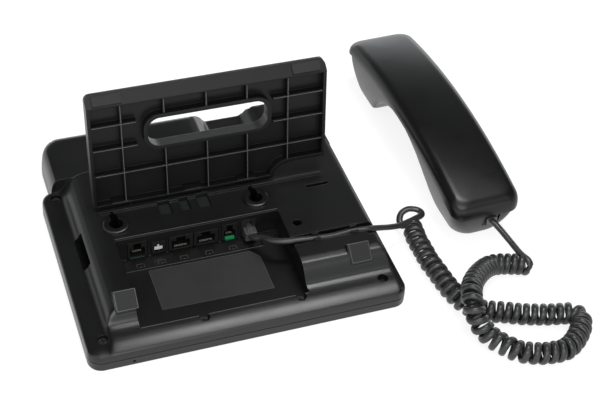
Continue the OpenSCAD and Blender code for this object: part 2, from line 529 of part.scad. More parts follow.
module handset_back() color([0.05, 0.05, 0.055]) place() at_handset() difference() {
  intersection() {
    hs_side(concat(top_pts, mid_pts));
    linear_extrude(60) hs_plan(0);
  }
  translate([0, 0, -hs_wall]) intersection() {
    hs_side([for (p = concat(top_pts, [for (q = mid_pts) q - [0, 2]])) p]);
    linear_extrude(60) hs_plan(hs_wall);
  }
}
module handset_front() color([0.07, 0.07, 0.075]) place() at_handset() difference() {
  hs_cups(0);
  hs_cups(hs_wall);
  intersection() {
    rotate([90, 0, 90]) translate([0, 0, -hs_w/2+1.6+hs_wall]) linear_extrude(hs_w-3.2-2*hs_wall) polygon(trough_pts);
    translate([0, 0, -3]) linear_extrude(60) hs_plan(1.6+hs_wall);
    along_y(-hl, hl) polygon([[-hs_w/2+9,0],[hs_w/2-9,0],[hs_w/2-6.4,16],[hs_w/2-4,28],[hs_w/2-4,50],
      [-hs_w/2+4,50],[-hs_w/2+4,28],[-hs_w/2+6.4,16]]);
  }
  // sound slots and cord socket
  for (x = [-8:4:8]) translate([x-0.8, hl-27, -1]) cube([1.6, 12, 5]);
  for (x = [-4:4:4]) translate([x-0.8, -hl+20, -1]) cube([1.6, 6, 5]);
  translate([4.5-5.6, -hl-1, 10.4]) cube([11.2, 9.4, 9]);
}
module earpiece_receiver() color([0.2, 0.2, 0.2]) place() at_handset()
  translate([0, hl-23.4, hs_wall+0.4]) { cylinder(h = 4, r = 11); translate([0, 0, 4-e]) cylinder(h = 3, r = 7); }
module handset_mic() color([0.25, 0.25, 0.25]) place() at_handset()
  translate([0, -hl+23, hs_wall+0.3]) cylinder(h = 3, r = 3.2);
module handset_socket() color([0.03, 0.03, 0.03]) place() at_handset() difference() {
  translate([4.5-5.3, -hl+3.4, 10.7]) cube([10.6, 15, 8.4]);
  translate([4.5-3.9, -hl+3, 11.5]) cube([7.8, 11, 6.8]);
}
module handset_weight() color([0.5, 0.5, 0.52]) place() at_handset()
  translate([-9, -hl+27, hs_wall+0.3]) cube([18, 8, 5]);
module base_plug() color([0.75, 0.78, 0.8, 0.6]) place() {
  bar(118.5, port_y-6.4, 10.1, 126.3, port_y+9, 16.6);
  bar(120.6, port_y-4, 16.5, 124.2, port_y+8, 17.8);
}
module handset_plug() color([0.75, 0.78, 0.8, 0.6]) place() at_handset()
  translate([4.5-3.6, -hl+1.6, 11.8]) cube([7.2, 10, 6.2]);
module lead_base() color([0.05, 0.05, 0.05]) place() tube(lead_base_pts, lead_d/2);
module coil_cord() color([0.05, 0.05, 0.05]) place() tube(coil_pts, coil_d/2);
module lead_handset() color([0.05, 0.05, 0.05]) place() tube(lead_hs_pts, lead_d/2);

rear_housing();
front_housing();
display_window();
display_module();
keypad_mat();
key_board();
main_board();
speaker();
base_microphone();
hook_plunger();
cradle_tab();
status_lamp();
case_screws();
base_feet();
rating_label();
ext_jack();
power_jack();
lan_jack();
pc_jack();
headset_jack();
handset_jack();
stand_bracket();
stand_feet();
key_1();
key_2();
key_3();
key_4();
key_5();
key_6();
key_7();
key_8();
key_9();
key_star();
key_0();
key_hash();
soft_key_1();
soft_key_2();
soft_key_3();
soft_key_4();
speaker_key();
headset_key();
hold_key();
mute_key();
nav_ring();
ok_key();
handset_back();
handset_front();
earpiece_receiver();
handset_mic();
handset_socket();
handset_weight();
base_plug();
handset_plug();
lead_base();
coil_cord();
lead_handset();
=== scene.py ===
"""Desk IP telephone lying face down: case, stand, handset and curly cord."""
import bpy, bmesh, json, math
import numpy as np
from mathutils import Matrix, Vector


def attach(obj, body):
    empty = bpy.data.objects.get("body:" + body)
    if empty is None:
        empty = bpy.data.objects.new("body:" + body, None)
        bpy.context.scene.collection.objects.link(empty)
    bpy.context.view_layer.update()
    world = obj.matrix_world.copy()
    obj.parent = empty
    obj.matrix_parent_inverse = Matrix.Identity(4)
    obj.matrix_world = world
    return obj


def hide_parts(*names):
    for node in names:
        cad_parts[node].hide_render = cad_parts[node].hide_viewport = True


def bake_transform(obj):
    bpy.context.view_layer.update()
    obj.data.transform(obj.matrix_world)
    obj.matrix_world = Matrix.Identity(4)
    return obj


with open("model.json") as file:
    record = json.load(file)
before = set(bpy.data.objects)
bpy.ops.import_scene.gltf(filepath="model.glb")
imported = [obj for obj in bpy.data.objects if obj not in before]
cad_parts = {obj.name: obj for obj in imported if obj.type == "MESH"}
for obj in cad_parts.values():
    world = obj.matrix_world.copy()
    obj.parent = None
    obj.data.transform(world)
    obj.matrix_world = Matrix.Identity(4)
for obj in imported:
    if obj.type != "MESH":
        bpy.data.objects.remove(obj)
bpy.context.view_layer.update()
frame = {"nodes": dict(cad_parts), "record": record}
scene = bpy.context.scene

# ---------------------------------------------------------------- layout
# All layout numbers are in millimetres in the case's own axes: x across, y from the near edge, z up.
W, D = 203.8, 194.0              # case, across and deep
SEAM, DECK = 6.5, 27.4           # height of the seam between the shells, and of the plateau
ABOVE = 40                       # a height clear of the case, for the tops of cutters
KEYHOLES, KEYHOLE_Y = (38.5, 131), 92.5
BAY_X, BAY_Y, BAY_FLOOR = (34.4, 141.6), (14.6, 79), 9.3
STRIP_X, STRIP_Y, STRIP_FLOOR = (38.4, 129), 67, 8.4
SCREWS = [(11.2, 13.6), (73.8, 12.7), (135.9, 12.7), (W - 13.3, 13.6), (9.4, 142.6)]
FEET_X, FOOT_Y, FOOT_Z, FOOT_LEAN = (29.2, W - 24.2), 24.4, 22.4, math.radians(39.9)
STAND_Y, STAND_LEAN = 109.2, math.radians(83)
LABEL = [(52, 30), (124, 29), (124, 58), (118.6, 64.4), (52, 64.8)]
# x0, x1, z0, z1 of the extension, power, network, computer, headset and handset openings
PORTS = [(42.2, 54.9, 7.6, 22), (57.9, 66.9, 7.6, 19), (69, 85.1, 7.6, 20.6), (85.7, 101.8, 7.6, 20.6),
         (104.4, 114.8, 7.6, 22.4), (117.2, 127.6, 7.6, 22.8)]
HANDSET_X, HANDSET_Y, HANDSET_TURN = 271.5, 135, math.radians(2)
HL, HW = 94.5, 49.6              # handset, half its length and its width


def P(x, y, z):
    """Layout millimetres to metres in the frame."""
    return Vector(((x - 100) / 1000, (y - 95) / 1000, z / 1000))


# ---------------------------------------------------------------- camera
AZIMUTH, ELEVATION, ROLL = math.radians(-21.84), math.radians(42.82), math.radians(4.35)
TARGET, DISTANCE = P(162.6, 93.59, 15), 0.9184
SENSOR, FOCAL_PIXELS, PICTURE_WIDTH = 36, 1384.6, 600


def make_camera():
    back = Vector((math.sin(AZIMUTH) * math.cos(ELEVATION), -math.cos(AZIMUTH) * math.cos(ELEVATION),
                   math.sin(ELEVATION)))
    forward = -back
    right = forward.cross(Vector((0, 0, 1))).normalized()
    up = right.cross(forward)
    r = math.cos(ROLL) * right + math.sin(ROLL) * up
    u = -math.sin(ROLL) * right + math.cos(ROLL) * up
    pos = TARGET + back * DISTANCE
    data = bpy.data.cameras.new("camera")
    data.sensor_width, data.lens = SENSOR, FOCAL_PIXELS / PICTURE_WIDTH * SENSOR
    data.clip_start, data.clip_end = 0.01, 20
    cam = bpy.data.objects.new("camera", data)
    scene.collection.objects.link(cam)
    cam.matrix_world = Matrix((
        (r.x, u.x, back.x, pos.x), (r.y, u.y, back.y, pos.y), (r.z, u.z, back.z, pos.z), (0, 0, 0, 1)))
    scene.camera = cam


make_camera()


# ---------------------------------------------------------------- shader maths
class S:
    """One output socket of a node tree, with arithmetic."""

    def __init__(self, tree, socket):
        self.t, self.s = tree, socket

    def op(self, kind, *rest):
        return add_node(self.t, "Math", dict(enumerate((self, *rest))), operation=kind)

    def held(self):
        """The value kept between 0 and 1."""
        return self.op("MAXIMUM", 0.0).op("MINIMUM", 1.0)

    def __add__(self, o): return self.op("ADD", o)
    def __sub__(self, o): return self.op("SUBTRACT", o)
    def __mul__(self, o): return self.op("MULTIPLY", o)
    def __truediv__(self, o): return self.op("DIVIDE", o)
    def __rsub__(self, o): return add_node(self.t, "Math", {0: o, 1: self}, operation="SUBTRACT")
    __radd__, __rmul__ = __add__, __mul__


def put(tree, socket, value):
    """Links a socket to an output, or sets its constant."""
    if isinstance(value, S):
        tree.links.new(value.s, socket)
    else:
        socket.default_value = value


def add_node(tree, kind, inputs=(), out=0, stops=(), **settings):
    """A new shader node: its settings and ramp stops first, then its sockets. Gives one output."""
    n = tree.nodes.new("ShaderNode" + kind)
    for k, v in settings.items():
        setattr(n, k, v)
    for i, (place, colour) in enumerate(stops):
        n.color_ramp.elements[i].position = place
        n.color_ramp.elements[i].color = (*colour, 1)
    for k, v in dict(inputs).items():
        put(tree, n.inputs[k], v)
    return S(tree, n.outputs[out])


def seen_by(tree, *rays):
    """1 where any of the named kinds of ray looks, else 0."""
    first, *rest = (add_node(tree, "LightPath", out=f"Is {r} Ray") for r in rays)
    for path in rest:
        first = first.op("MAXIMUM", path)
    return first


class Mat:
    """A Principled material."""

    def __init__(self, name, color=(0.5, 0.5, 0.5), rough=0.5, metal=0.0, **more):
        self.m = bpy.data.materials.new(name)
        self.m.use_nodes = True
        self.t = self.m.node_tree
        self.b = self.t.nodes["Principled BSDF"]
        self.set("Base Color", (*color, 1))
        self.set("Roughness", rough)
        self.set("Metallic", metal)
        for k, v in more.items():
            self.set(k.replace("_", " "), v)

    def set(self, socket, value):
        put(self.t, self.b.inputs[socket], value)

    def noise(self, scale, detail, rough):
        return add_node(self.t, "TexNoise", {"Vector": add_node(self.t, "TexCoord", out="Object"),
                                             "Scale": scale, "Detail": detail, "Roughness": rough})

    def ramp(self, value, *stops):
        return add_node(self.t, "ValToRGB", {0: value}, stops=stops)

    def bump(self, height, strength, distance, edge):
        """Bump over the surface, with edges rounded by the radius edge."""
        inputs = {"Height": height, "Strength": strength, "Distance": distance}
        if edge:
            inputs["Normal"] = add_node(self.t, "Bevel", {"Radius": edge}, samples=4)
        self.set("Normal", add_node(self.t, "Bump", inputs))


def moulded(name, dark, rough, grain=900, depth=0.00002, edge=0.0, spec=0.5, tint=(1, 1, 1.04)):
    """Spark-textured moulding: fine pits, a slow cloud of gloss and faint handling dust."""
    m = Mat(name, rough=rough)
    fine, cloud, mid = m.noise(grain, 3, 0.6), m.noise(38, 3, 0.6), m.noise(260, 2, 0.5)
    low, high = (tuple(dark * k * t for t in tint) for k in (0.88, 1.14))
    m.set("Base Color", m.ramp(cloud * 0.6 + mid * 0.4, (0.3, low), (0.7, high)))
    m.set("Roughness", (cloud - 0.5) * 0.10 + (fine - 0.5) * 0.12 + rough)
    m.set("Specular IOR Level", spec)
    m.bump(fine * 0.7 + mid * 0.3, 0.35, depth, edge)
    return m.m


M = {
    "case": moulded("case_moulding", 0.004, 0.31, grain=1500, depth=0.00005, edge=0.0005),
    "stand": moulded("stand_moulding", 0.0035, 0.36, grain=1500, depth=0.00005, edge=0.0006, spec=0.3),
    "hand": moulded("handset_moulding", 0.004, 0.3, grain=2200, depth=0.00003, edge=0.0005, spec=0.34),
    "key": moulded("key_moulding", 0.03, 0.5, grain=1800, edge=0.0006),
    "pad": moulded("rubber_pad", 0.009, 0.6, depth=0.00006, edge=0.0004, spec=0.35),
    "cord": moulded("cord_jacket", 0.022, 0.34, depth=0.00003),
    "jack": moulded("socket_moulding", 0.008, 0.3, grain=1200, edge=0.0003),
    "jack_dim": moulded("socket_rail", 0.03, 0.4, grain=1200, edge=0.0003, tint=(0.5, 2.2, 1.2)),
    "jack_green": moulded("socket_green", 0.05, 0.4, grain=1200, edge=0.0003, tint=(0.12, 3.6, 1.3)),
    "mark": moulded("raised_mark", 0.03, 0.45),
    # line: light strips that paint edge highlights on the bay and the stand's ribs (painted highlight)
    "line": moulded("painted_highlight_line", 0.1, 0.4),
    # edge: lighter strips that paint a highlight round the label film and the foot pads (painted highlight)
    "edge": moulded("painted_highlight_edge", 0.05, 0.4),
    "bright": moulded("white_socket", 0.62, 0.35, edge=0.0003),
    "label": moulded("label_film", 0.02, 0.42, grain=700),
    "glass": Mat("display_window", (0.008, 0.008, 0.01), 0.08, Coat_Weight=0.6, Coat_Roughness=0.04).m,
    "screw": Mat("black_zinc", (0.012, 0.012, 0.013), 0.5).m,
    "steel": Mat("plated_steel", (0.42, 0.42, 0.43), 0.32, 1.0).m,
    "gold": Mat("contact_gold", (0.36, 0.33, 0.26), 0.35, 0.4).m,
    "board": Mat("board", (0.0012, 0.004, 0.002), 0.45).m,
    "lamp": Mat("lamp", (0.35, 0.01, 0.01), 0.2, Transmission_Weight=0.3).m,
    "clear": moulded("smoked_plug", 0.05, 0.14, depth=0.00001, edge=0.0004, spec=0.9),
}
SLOTS = {
    "case_plastic": "case", "key_plastic": "key", "rubber_pad": "pad", "cord_rubber": "cord",
    "jack_plastic": "jack", "clear_plug": "clear", "board": "board", "display_glass": "glass",
    "display_metal": "steel", "screw_steel": "steel", "transducer": "steel", "lamp_red": "lamp",
    "label_film": "label",
}
OWN_MATERIAL = {"stand_bracket": "stand", "handset_back": "hand", "handset_front": "hand",
                "case_screws": "screw"}


def dress_nodes():
    for sub in frame["record"]["subparts"]:
        node = sub["node"]
        for s in frame["nodes"][node].material_slots:
            s.material = M[OWN_MATERIAL.get(node, SLOTS[sub["material_slot"]])]


dress_nodes()


# ---------------------------------------------------------------- curves
def lengths_along(line):
    """Distance from the first point to each point of a line."""
    return np.concatenate([[0], np.cumsum(np.linalg.norm(np.diff(line, axis=0), axis=1))])


def curve_points(pts, step):
    """Smooth spline through pts, resampled at even steps (mm)."""
    p = np.array(pts, float)
    ext = np.vstack([2 * p[0] - p[1], p, 2 * p[-1] - p[-2]])
    out = []
    for i in range(1, len(ext) - 2):
        p0, p1, p2, p3 = ext[i - 1:i + 3]
        k = max(4, int(np.linalg.norm(p2 - p1) / 0.5))
        t = np.linspace(0, 1, k, endpoint=False)[:, None]
        out.append(0.5 * (2 * p1 + (p2 - p0) * t + (2 * p0 - 5 * p1 + 4 * p2 - p3) * t * t
                          + (3 * p1 - p0 - 3 * p2 + p3) * t ** 3))
    line = np.vstack(out + [p[-1:]])
    far = lengths_along(line)
    want = np.linspace(0, far[-1], max(3, int(far[-1] / step) + 1))
    return np.stack([np.interp(want, far, line[:, k]) for k in range(3)], 1)


def tangents(line):
    t = np.gradient(line, axis=0)
    return t / np.linalg.norm(t, axis=1)[:, None]


def side_frames(line):
    """Two side directions carried along a line without twist."""
    t = tangents(line)
    a = np.cross(t[0], (0.02, 0.01, 1))
    sides = [a / np.linalg.norm(a)]
    for along in t[1:]:
        a = sides[-1] - along * (sides[-1] @ along)
        sides.append(a / np.linalg.norm(a))
    sides = np.array(sides)
    return sides, np.cross(t, sides)


# ---------------------------------------------------------------- solids and cutters
def loop_faces(a, b, n):
    """Quads between two loops of n points that start at a and b."""
    return [(a + i, a + (i + 1) % n, b + (i + 1) % n, b + i) for i in range(n)]


def mesh(name, verts, faces, mat):
    me = bpy.data.meshes.new(name)
    me.from_pydata([tuple(P(*v)) for v in verts], [], [tuple(f) for f in faces])
    me.validate()
    me.materials.append(M[mat])
    ob = bpy.data.objects.new(name, me)
    scene.collection.objects.link(ob)
    return ob


def solid(name, parts, mat="case"):
    """One mesh from (verts, faces) parts, with its faces turned outward."""
    V, F = [], []
    for v, f in parts:
        F += [tuple(i + len(V) for i in q) for q in f]
        V += list(v)
    ob = mesh(name, V, F, mat)
    bm = bmesh.new()
    bm.from_mesh(ob.data)
    bmesh.ops.remove_doubles(bm, verts=bm.verts, dist=2e-6)
    bmesh.ops.dissolve_degenerate(bm, edges=bm.edges, dist=1e-7)
    bmesh.ops.recalc_face_normals(bm, faces=bm.faces)
    bm.to_mesh(ob.data)
    bm.free()
    return ob


def bar(x0, y0, z0, x1, y1, z1):
    v = [(x, y, z) for x in (x0, x1) for y in (y0, y1) for z in (z0, z1)]
    return v, [(0, 1, 3, 2), (4, 6, 7, 5), (0, 4, 5, 1), (2, 3, 7, 6), (0, 2, 6, 4), (1, 5, 7, 3)]


def lathe(x, y, rz, n=48):
    """Closed turned shape about the upright axis at x, y through (radius, z) pairs."""
    turn = [2 * math.pi * i / n for i in range(n)]
    v = [(x + r * math.cos(a), y + r * math.sin(a), z) for r, z in rz for a in turn]
    f = [q for k in range(len(rz) - 1) for q in loop_faces(k * n, (k + 1) * n, n)]
    return v, f + [tuple(range(n))[::-1], tuple(range((len(rz) - 1) * n, len(rz) * n))]


def drum(x, y, r, z0, z1=ABOVE, n=48):
    return lathe(x, y, [(r, z0), (r, z1)], n)


def prism_x(poly, x0, x1):
    """A (y, z) outline carried from x0 to x1."""
    n = len(poly)
    v = [(x, *p) for x in (x0, x1) for p in poly]
    return v, loop_faces(0, n, n) + [tuple(range(n))[::-1], tuple(range(n, 2 * n))]


def leaned(part, x, y, z, lean):
    """A part turned by lean about the x direction, with its origin moved to x, y, z."""
    c, s = math.cos(lean), math.sin(lean)
    return [(x + u, y + v * c - w * s, z + v * s + w * c) for u, v, w in part[0]], part[1]


def at_handset(part):
    """A part given about the handset's middle, in its place beside the case."""
    c, s = math.cos(HANDSET_TURN), math.sin(HANDSET_TURN)
    return [(HANDSET_X + c * x - s * y, HANDSET_Y + s * x + c * y, z) for x, y, z in part[0]], part[1]


def cut(ob, op, parts):
    """Joins the parts to the object or takes them away. Parts of one call stay clear of each other."""
    tool = solid("tool", parts)
    m = ob.modifiers.new("cut", "BOOLEAN")
    m.operation, m.object, m.solver = op, tool, "EXACT"
    dg = bpy.context.evaluated_depsgraph_get()
    dg.update()
    me = bpy.data.meshes.new_from_object(ob.evaluated_get(dg))
    ob.modifiers.clear()
    ob.data = me
    bpy.data.objects.remove(tool)
    while len(me.materials) > 1:
        me.materials.pop()


def crisp(ob, angle):
    """Smooth shading that breaks at edges sharper than angle."""
    ob.data.shade_smooth()
    ob.data.set_sharp_from_angle(angle=math.radians(angle))


def finish_piece(ob, body, nodes=(), angle=32):
    crisp(ob, angle)
    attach(ob, body)
    if nodes:
        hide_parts(*nodes)


def trim(name, parts, mat, body="case"):
    """Fine relief, and strips of painted highlight, that lie on the pieces of a body."""
    finish_piece(solid(name, parts, mat), body, angle=30)


def smin(a, b, k):
    """The smaller of two heights, blended over about k."""
    return 0.5 * (a + b - np.sqrt((a - b) ** 2 + k * k))


def smax(a, b, k):
    """The larger of two heights, blended over about k."""
    return 0.5 * (a + b + np.sqrt((a - b) ** 2 + k * k))


def line_of(table, x, soft=0.5):
    """Profile through the table, rounded over a distance of soft mm."""
    tx, tz = np.array(table, float).T
    taps = ((-1, 0.15), (-0.5, 0.2), (0, 0.3), (0.5, 0.2), (1, 0.15))
    return sum(w * np.interp(x + o * soft, tx, tz) for o, w in taps)


# ---------------------------------------------------------------- rear housing
# near part: (x, height) from the left side to the right
NEAR_ACROSS = [
    (-9, 12.8), (4, 12.9), (7, 13), (10, 13), (12, 13.1), (13, 13.4), (13.9, 14.1), (15, 15.3), (16.2, 17.8),
    (18.3, 20.9), (21.1, 23), (24.5, 24.8), (28.4, 26.2), (32.5, 27.1), (36, DECK), (W - 11, DECK), (W - 9, 27),
    (W - 7.6, 25.8), (W - 6.6, 23.4), (W - 5.4, 18.4), (W - 4.2, 14), (W - 3.2, 12.9), (W - 1.5, 12.6),
    (W + 9, 12.6)]
# near part: (y, height) from the near edge
NEAR_SLOPE = [
    (-9, 11.9), (0, 12), (2, 12.8), (5, 13.75), (8, 14.45), (11, 14.85), (14.6, 15.05), (17, 15.3), (18.6, 15.7),
    (20.4, 16.2), (22, 18), (24.2, 21), (26.6, 23.9), (29.8, 26.3), (34.4, DECK), (220, DECK)]
# near part: (distance in from the outline, height)
NEAR_RIM = [(-1, 6.5), (0, 6.5), (0.12, 10.6), (0.5, 11.9), (1, 12.5), (2, 13), (5, 14.6), (6, 17), (8, 40),
            (400, 60)]
# far block: the same two, without a slope
FAR_ACROSS = [
    (-9, 23.5), (111, 23.5), (116.5, 22.4), (120.6, 19.4), (123.4, 15.6), (125.2, 12.9), (127, 12.8), (149, 12.8),
    (150.5, 12.9), (152.6, 15.2), (155.4, 18.6), (159.5, 21.2), (165, 22.4), (W - 13, 22.4), (W - 9.4, 21.2),
    (W - 7, 18), (W - 5.6, 12.9), (W - 4.4, 12.8), (W + 9, 12.6)]
FAR_RIM = [(-1, 6.5), (0, 6.5), (0.35, 12), (1, 16.6), (2.1, 20.2), (3.8, 22.6), (6.4, 23.5), (400, 23.9)]
CORNER, FAR_CORNER, FAR_INSET = 9, 15, 7      # corner radii, and how far the far block's left side stands in
STEP_Y, BLOCK_Y = 150, 148                    # where the wide part ends and where the far block begins
BEFORE, BEYOND = -40, 230                     # clear of the near and the far edge


def inside(x, y, x0, y0, x1, y1, r):
    """Distance in from a rounded rectangle's edge."""
    qx = np.abs(x - (x0 + x1) / 2) - (x1 - x0) / 2 + r
    qy = np.abs(y - (y0 + y1) / 2) - (y1 - y0) / 2 + r
    return r - (np.hypot(np.maximum(qx, 0), np.maximum(qy, 0)) + np.minimum(np.maximum(qx, qy), 0))


def height(x, y):
    """Height of the moulding's outside. Rectangles that reach beyond the case leave those sides out."""
    near = inside(x, y, 0, 0, W, BEYOND, CORNER)
    wide = np.where(y < STEP_Y, inside(x, y, 0, 0, W, STEP_Y, CORNER), -9)
    narrow = np.where(x > 40, near, inside(x, y, FAR_INSET, 0, W, BEYOND, CORNER))
    rim = np.where(x > 20, near, np.maximum(wide, narrow))
    far = np.where(x < 60, inside(x, y, FAR_INSET, BEFORE, W - BEFORE, D, FAR_CORNER),
                   inside(x, y, FAR_INSET, BEFORE, W, D, CORNER))
    plateau = smin(line_of(NEAR_ACROSS, x), line_of(NEAR_SLOPE, y), 1.6)
    z_near = smin(plateau, line_of(NEAR_RIM, rim, 0.12), 0.25) + 0.05
    z_far = smin(line_of(FAR_ACROSS, x, 0.9), line_of(FAR_RIM, far, 0.12), 0.4) + 0.1
    return np.maximum(np.where(y <= BLOCK_Y, z_near, z_far), SEAM)


def corner_arc(r, v):
    """How far a corner of radius r stands in, at a depth v into the corner."""
    return r - np.sqrt(np.maximum(r * r - np.minimum(np.maximum(v, 0), r) ** 2, 0))


def rear_shell():
    """Closed shell over a grid that is fine where the surface turns, with a low ring inset for the seam."""
    q = np.linspace(0, math.pi / 2, 11)
    ys = np.concatenate([
        CORNER * (1 - np.cos(q)), np.arange(9.8, 36, 0.8), np.arange(38, 140, 4), 141 + 7 * np.sin(q)[:-1],
        [147.99, 148.01], [148.6, 149.2, 149.6, 149.9], np.arange(152, 179, 3), 179 + FAR_CORNER * np.sin(q)])
    xs = np.concatenate([
        [0, 0.1, 0.25, 0.5, 0.9, 1.5, 2.2, 3, 4, 5], np.arange(6, 24, 0.5), np.arange(24, 37, 1),
        np.arange(40, 108, 4), np.arange(110, 128, 0.9), [133, 141, 148], np.arange(150, 167, 0.9),
        np.arange(170, W - 14, 4), np.arange(W - 13, W - 1.4, 0.45), W - np.array([1.2, 0.9, 0.5, 0.25, 0.1, 0])])
    ys, xs = np.unique(np.round(ys, 4)), np.unique(np.round(xs, 4))
    near_side = np.where(ys <= STEP_Y, corner_arc(CORNER, CORNER - ys) + corner_arc(CORNER, ys - 141), 99)
    far_side = np.where(ys > 100, FAR_INSET + corner_arc(FAR_CORNER, ys - (D - FAR_CORNER)), 99)
    left = np.minimum(near_side, far_side)
    right = W - corner_arc(CORNER, CORNER - ys) - corner_arc(CORNER, ys - (D - CORNER))
    X = np.clip(xs[None, :], left[:, None], right[:, None])
    Y = np.repeat(ys[:, None], len(xs), 1)
    edge = (X <= left[:, None] + 1e-6) | (X >= right[:, None] - 1e-6)
    edge[0], edge[-1] = True, True
    Z = np.where(edge, SEAM + 0.6, height(X, Y))
    ny, nx = X.shape
    n = nx * ny
    top = np.stack([X, Y, Z], 2).reshape(-1, 3)
    low = (top - [W / 2, D / 2, 0]) * [0.9945, 0.9945, 0] + [W / 2, D / 2, SEAM - 0.02]
    F = []
    for i in range(ny - 1):
        for j in range(nx - 1):
            a = i * nx + j
            F.append((a, a + 1, a + nx + 1, a + nx))
            F.append((n + a, n + a + nx, n + a + nx + 1, n + a + 1))
    ids = np.arange(n).reshape(ny, nx)
    rim = [*ids[0], *ids[1:, -1], *ids[-1, -2::-1], *ids[-2:0:-1, 0]]
    F += [(a, b, n + b, n + a) for a, b in zip(rim, rim[1:] + rim[:1])]
    return solid("case_rear", [(np.vstack([top, low]), F)])


def make_rear():
    ob = rear_shell()
    # keyhole rings, the two blocks behind the near feet, the stand's long rib
    ring = [(8.3, DECK - 2), (8.3, DECK + 0.7), (8.1, DECK + 1.1), (7.6, DECK + 1.36), (7, DECK + 1.4),
            (5.6, DECK + 1.4)]
    foot = [(23.4, 17), (23.9, 20.6), (24.1, 21.9), (24.4, 22.45), (33, 29.7), (33.6, 30), (34.2, 29.8),
            (36, 27.2), (36, 20), (25.5, 15)]
    cut(ob, "UNION", [lathe(x, KEYHOLE_Y, ring) for x in KEYHOLES]
        + [prism_x(foot, 21.8, 36.6), prism_x(foot, 172.2, 187)]
        + [bar(30.4, 104.6, DECK - 1, 180.2, 106.2, DECK + 0.8)])
    # socket bay, keyhole heads, round hole, slots in the plateau, stand pockets, side of the cord channel
    slots = ((68.2, 94.7, 76.2, 105.4), (82.4, 94.8, 88.4, 105.6), (94, 94.6, 102, 106), (166.6, 94.4, 182.2, 97))
    cut(ob, "DIFFERENCE", [bar(BAY_X[0], BAY_Y[0], BAY_FLOOR, BAY_X[1], BAY_Y[1], ABOVE)]
        + [drum(x, KEYHOLE_Y, 4.5, 12) for x in KEYHOLES] + [drum(150, 64.4, 3, 12, n=32)]
        + [bar(x0, y0, 18, x1, y1, ABOVE) for x0, y0, x1, y1 in slots]
        + [bar(x - 0.4, STAND_Y + 0.2, 22.4, x + 12.4, 115.2, ABOVE) for x in (40, 88, 124)]
        + [bar(W - 13, 42.8, 20.4, W + 2, 49, ABOVE)])
    # expansion socket across the left flank's 30 degree slope, keyhole slots, port openings, cord channel
    c30, s30 = 0.866, 0.5
    v, f = bar(-3, 0, 0, 9, 28, 7.4)
    expansion = [(13.2 + x * c30 + z * s30, 72 + y, 12.6 - x * s30 + z * c30) for x, y, z in v], f
    cut(ob, "DIFFERENCE", [expansion]
        + [bar(x - 2.2, KEYHOLE_Y, 12, x + 2.2, KEYHOLE_Y + 10, ABOVE) for x in KEYHOLES]
        + [bar(x0 - 0.25, 78, z0 - 0.1, x1 + 0.25, 99, z1 + 0.25) for x0, x1, z0, z1 in PORTS]
        + [bar(139, 45.8, 20.4, W + 2, 53.2, ABOVE)])
    # chamfer along the plateau's edge above the sockets
    cut(ob, "DIFFERENCE", [prism_x([(78.3, 27.9), (79.7, 27.9), (78.3, 26.5)], 34.3, 141.7)])
    # sunk strip below the sockets, round ends of the keyhole slots, screw wells
    cut(ob, "DIFFERENCE", [bar(STRIP_X[0], STRIP_Y, STRIP_FLOOR, STRIP_X[1], BAY_Y[1], STRIP_FLOOR + 1.2)]
        + [drum(x, KEYHOLE_Y + 10, 2.2, 12.1, n=32) for x in KEYHOLES]
        + [drum(x, y, 3.3, 7.4, n=36) for x, y in SCREWS])
    finish_piece(ob, "case", ["rear_housing"])
    clips = solid("channel_clips", [bar(x, y0, DECK - 1, x + 4.4, y1, DECK - 0.02)
                                    for x in (155.5, 181) for y0, y1 in ((45.7, 47.8), (51.2, 53.3))])
    finish_piece(clips, "case")


make_rear()


# ---------------------------------------------------------------- socket details, and painted highlights on the bay, label and feet
PIN, PIN_PITCH = 0.54, 1.06                   # width and spacing of the contacts
# opening, number of contacts, their y and z
CONTACTS = ((PORTS[0], 6, 81.3, 11.9), (PORTS[2], 8, 80.2, 10.6), (PORTS[3], 8, 80.2, 10.6),
            (PORTS[4], 4, 81.8, 11.5))
SOCKET_FACE = 78.86                           # front of the socket fittings, just proud of the wall


def make_contacts():
    pins = []
    for (x0, x1, z0, z1), n, y, z in CONTACTS:
        for i in range(n):
            x = (x0 + x1) / 2 + (i - (n - 1) / 2) * PIN_PITCH
            pins.append(bar(x - PIN / 2, y, z, x + PIN / 2, y + 0.9, z + 0.62))
    trim("socket_contacts", pins, "gold")


def make_inserts():
    seat = [bar(59.6, SOCKET_FACE, 12.5, 64.8, 79.3, 15), bar(61.4, SOCKET_FACE, 15.6, 62.8, 79.3, 16.6)]
    wedge = prism_x([(SOCKET_FACE, 8.4), (80.6, 8.4), (80.6, 10.5), (SOCKET_FACE, 10)], 106.6, 112.9)
    trim("power_seat", seat, "bright")
    trim("headset_insert", [wedge], "jack_green")
    trim("ext_insert", [bar(43.6, SOCKET_FACE, 8.3, 53.5, 79.2, 8.75)], "jack_dim")


def make_bay_edge_highlights():
    """Painted highlights on the bay's edges: light strips along its crest, the plateau above the sockets and the
    foot of the strip.
    """
    between_screws = ((34.6, 70.6), (77, 132.7), (139.1, 141.4))
    crest = [bar(x0, 14.26, 14.8, x1, 14.56, 15.16) for x0, x1 in between_screws]
    plateau = bar(34.6, 79.72, 27.2, 141.4, 79.95, 27.47)
    strip = bar(STRIP_X[0], 66.75, 9.2, STRIP_X[1], 66.98, 9.4)
    trim("bay_edge_highlights", crest + [plateau, strip], "line")


def make_marks():
    """A raised outline with a foot below each socket."""
    z0, z1 = STRIP_FLOOR, STRIP_FLOOR + 0.22
    marks = []
    for x0, x1 in (port[:2] for port in PORTS[:5]):
        c = (x0 + x1) / 2
        marks += [bar(c + a, y0, z0, c + b, y1, z1) for a, b, y0, y1 in (
            (-2.6, 2.6, 72.6, 73.1), (-2.6, -2.1, 69.6, 73), (2.1, 2.6, 69.6, 73), (-0.8, 0.8, 69.6, 70.4))]
    trim("socket_marks", marks, "mark")


